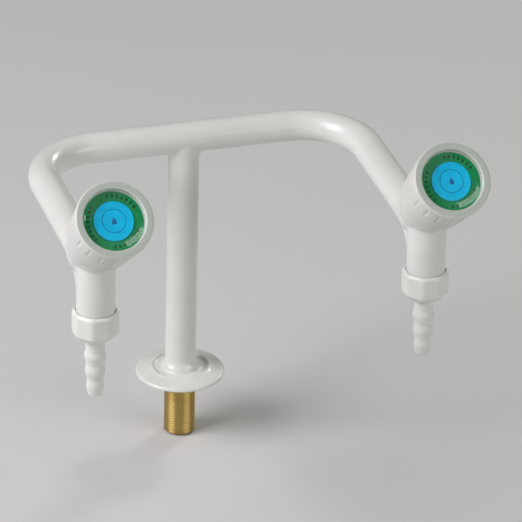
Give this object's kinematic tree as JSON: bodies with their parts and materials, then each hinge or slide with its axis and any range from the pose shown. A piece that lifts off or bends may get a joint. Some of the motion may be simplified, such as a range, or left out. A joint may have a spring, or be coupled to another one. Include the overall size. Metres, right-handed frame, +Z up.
{
  "type": "two-way laboratory bench water tap",
  "caption": "Bench-mounted laboratory bridge tap: one riser, a bent bridge tube, forward-leaning screw-down valves and barbed hose nozzles.",
  "frame": {"origin": "centre of the flange's underside, on the bench face and on the shank's axis", "axes": "+Z up along the riser; the bridge runs along X; both arms run forward along -Y and the knobs face -Y and up"},
  "size_m": [0.2669, 0.256, 0.2972],
  "materials": {
    "powder_coat": "light grey epoxy powder coat, semi-gloss",
    "knob_plastic": "light grey moulded nylon, satin",
    "nut_plastic": "light grey moulded plastic, semi-gloss",
    "brass": "machined",
    "stainless": "machined",
    "rubber_black": "smooth",
    "fibre": "compressed fibre sheet",
    "index_green": "printed plate, glossy",
    "index_blue": "printed disc, glossy",
    "clear_plastic": "clear acrylic, polished"
  },
  "bodies": {
    "stand": {"bench_flange": "powder_coat", "flange_seal": "rubber_black", "threaded_shank": "brass", "riser_tube": "powder_coat", "bridge_tube": "powder_coat", "left_valve_body": "powder_coat", "left_valve_seat": "brass", "left_bonnet_gasket": "fibre", "left_headwork_bonnet": "brass", "left_union_nut": "nut_plastic", "left_nozzle_washer": "rubber_black", "left_hose_nozzle": "nut_plastic", "right_valve_body": "powder_coat", "right_valve_seat": "brass", "right_bonnet_gasket": "fibre", "right_headwork_bonnet": "brass", "right_union_nut": "nut_plastic", "right_nozzle_washer": "rubber_black", "right_hose_nozzle": "nut_plastic"},
    "left_handle": {"left_spindle": "brass", "left_spindle_o_rings": "rubber_black", "left_spindle_circlip": "stainless", "left_knob": "knob_plastic", "left_knob_screw": "stainless", "left_index_plate": "index_green", "left_media_disc": "index_blue", "left_clear_cap": "clear_plastic"},
    "left_jumper_group": {"left_jumper": "brass", "left_seat_washer": "rubber_black", "left_washer_screw": "stainless"},
    "right_handle": {"right_spindle": "brass", "right_spindle_o_rings": "rubber_black", "right_spindle_circlip": "stainless", "right_knob": "knob_plastic", "right_knob_screw": "stainless", "right_index_plate": "index_green", "right_media_disc": "index_blue", "right_clear_cap": "clear_plastic"},
    "right_jumper_group": {"right_jumper": "brass", "right_seat_washer": "rubber_black", "right_washer_screw": "stainless"}
  },
  "joints": [
    {"name": "left_handle_turn", "type": "hinge", "parent": "stand", "child": "left_handle", "pos_m": [-0.1045, -0.1446, 0.1761], "axis": [0, -0.7431, 0.6691], "range_deg": [0, 900]},
    {"name": "left_jumper_lift", "type": "slide", "parent": "stand", "child": "left_jumper_group", "axis": [0, -0.7431, 0.6691], "range_m": [0, 0.0045]},
    {"name": "right_handle_turn", "type": "hinge", "parent": "stand", "child": "right_handle", "pos_m": [0.113, -0.1446, 0.1761], "axis": [0, -0.7431, 0.6691], "range_deg": [0, 900]},
    {"name": "right_jumper_lift", "type": "slide", "parent": "stand", "child": "right_jumper_group", "axis": [0, -0.7431, 0.6691], "range_m": [0, 0.0045]}
  ],
  "couplings": [
    {"joint": "left_jumper_lift", "follows": "left_handle_turn", "m_per_rad": 0.0002864},
    {"joint": "right_jumper_lift", "follows": "right_handle_turn", "m_per_rad": 0.0002864}
  ]
}
